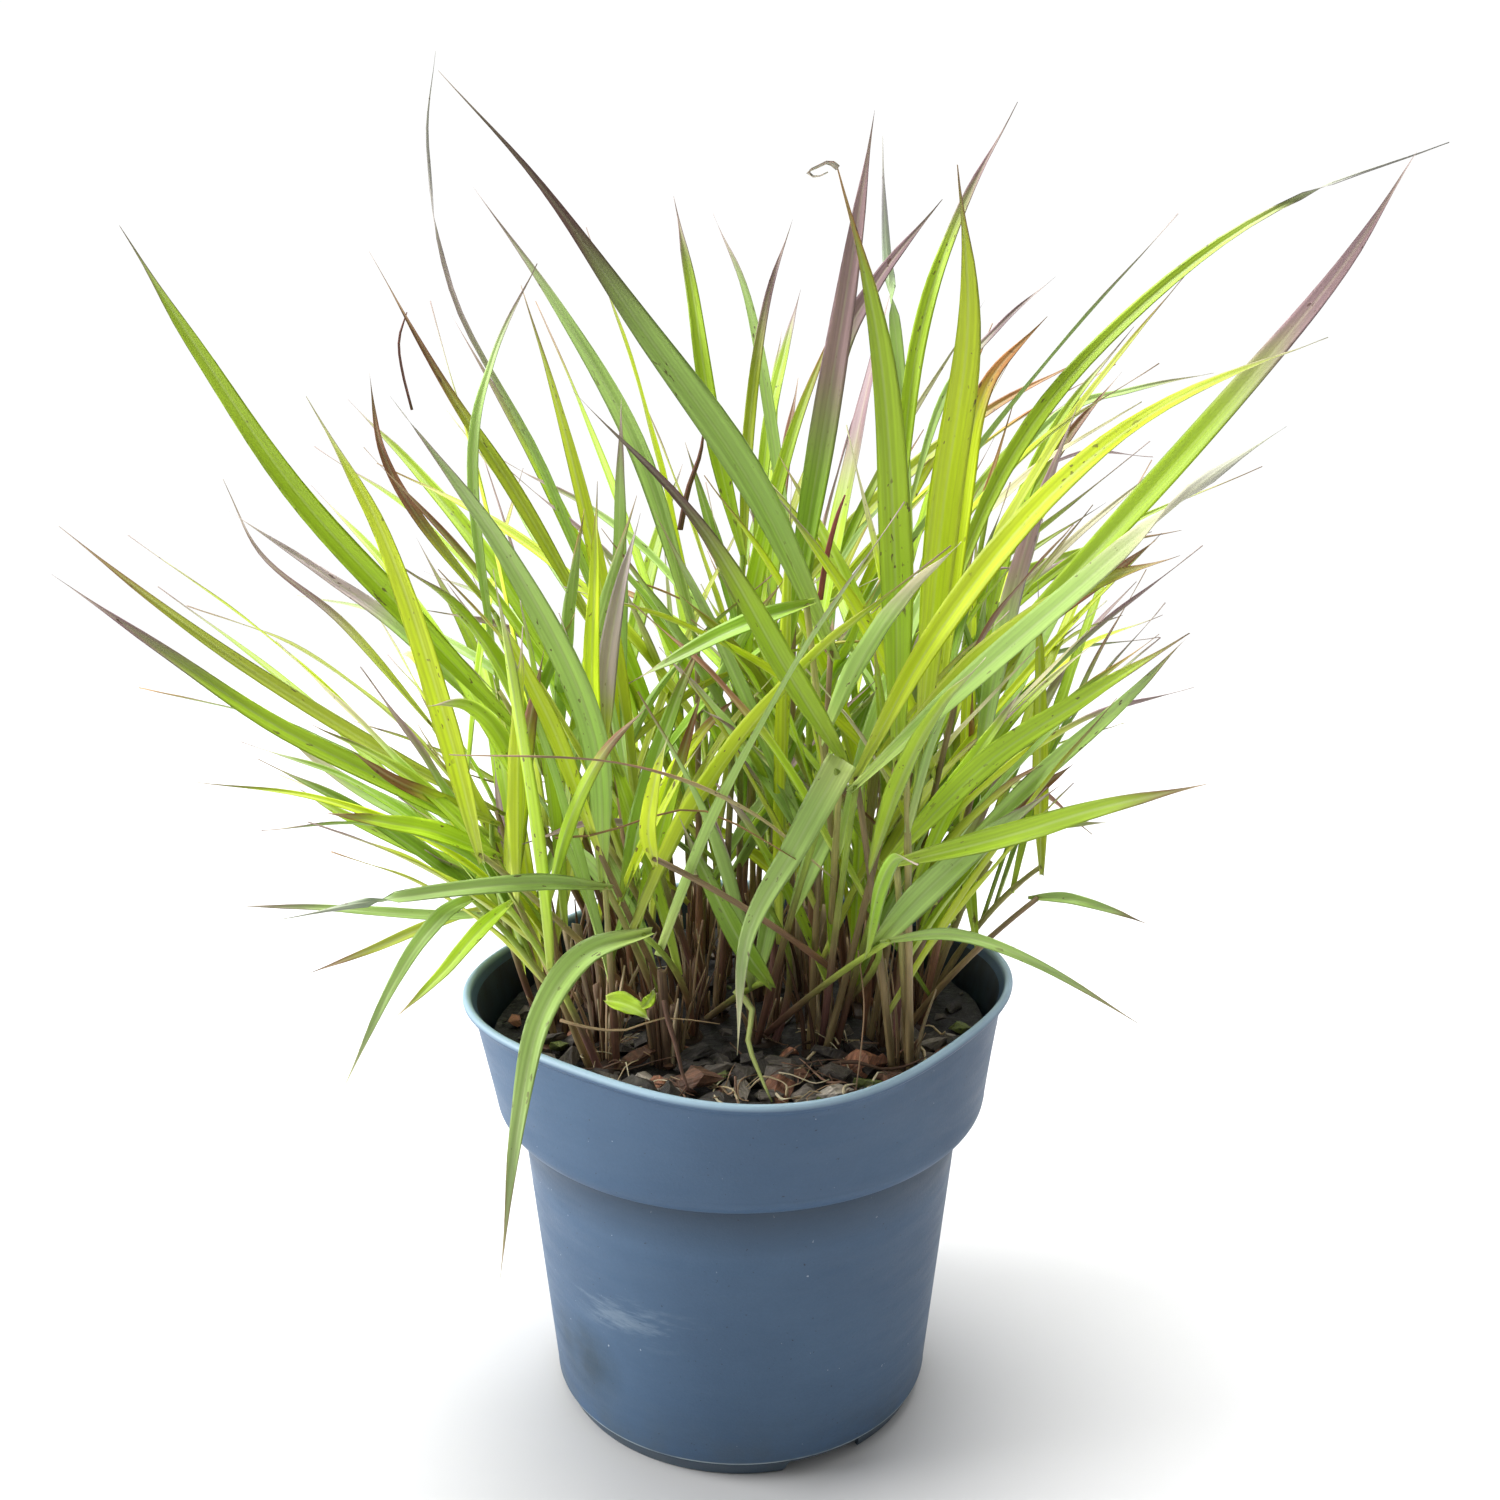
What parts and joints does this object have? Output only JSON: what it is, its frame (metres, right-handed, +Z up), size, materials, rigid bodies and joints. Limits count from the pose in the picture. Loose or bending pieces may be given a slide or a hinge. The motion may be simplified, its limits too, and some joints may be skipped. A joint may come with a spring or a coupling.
{
  "type": "potted switchgrass",
  "caption": "Clump of switchgrass with broad arching blades and last year's cut stems, growing through bark mulch in a round tapered nursery pot with a stepped rim band",
  "frame": {"origin": "Middle of the pot's foot, on the surface that it stands on; the plant's box is centred over it", "axes": "+Z up, the pot's front faces -Y, +X to the right seen from the front"},
  "size_m": [0.5674, 0.46, 0.5493],
  "materials": {
    "pot": "slate blue moulded polypropylene, slightly scuffed",
    "potting_soil": "dark moist potting soil",
    "bark_mulch": "composted bark chips",
    "old_stems": "dry cut stems",
    "leaves": "living blades, green to glaucous with purple tips"
  },
  "bodies": {
    "root": {"bark_mulch": "bark_mulch", "old_stems_01": "old_stems", "old_stems_02": "old_stems", "old_stems_03": "old_stems", "old_stems_04": "old_stems", "old_stems_05": "old_stems", "old_stems_06": "old_stems", "old_stems_07": "old_stems", "pot": "pot", "potting_soil": "potting_soil", "tuft_01": "leaves", "tuft_02": "leaves", "tuft_03": "leaves", "tuft_04": "leaves", "tuft_05": "leaves", "tuft_06": "leaves", "tuft_07": "leaves", "tuft_08": "leaves", "tuft_09": "leaves", "tuft_10": "leaves", "tuft_11": "leaves", "tuft_12": "leaves", "tuft_13": "leaves", "tuft_14": "leaves", "tuft_15": "leaves", "tuft_16": "leaves", "tuft_17": "leaves", "tuft_18": "leaves", "tuft_19": "leaves", "tuft_20": "leaves", "tuft_21": "leaves", "tuft_22": "leaves", "tuft_23": "leaves"}
  },
  "joints": []
}
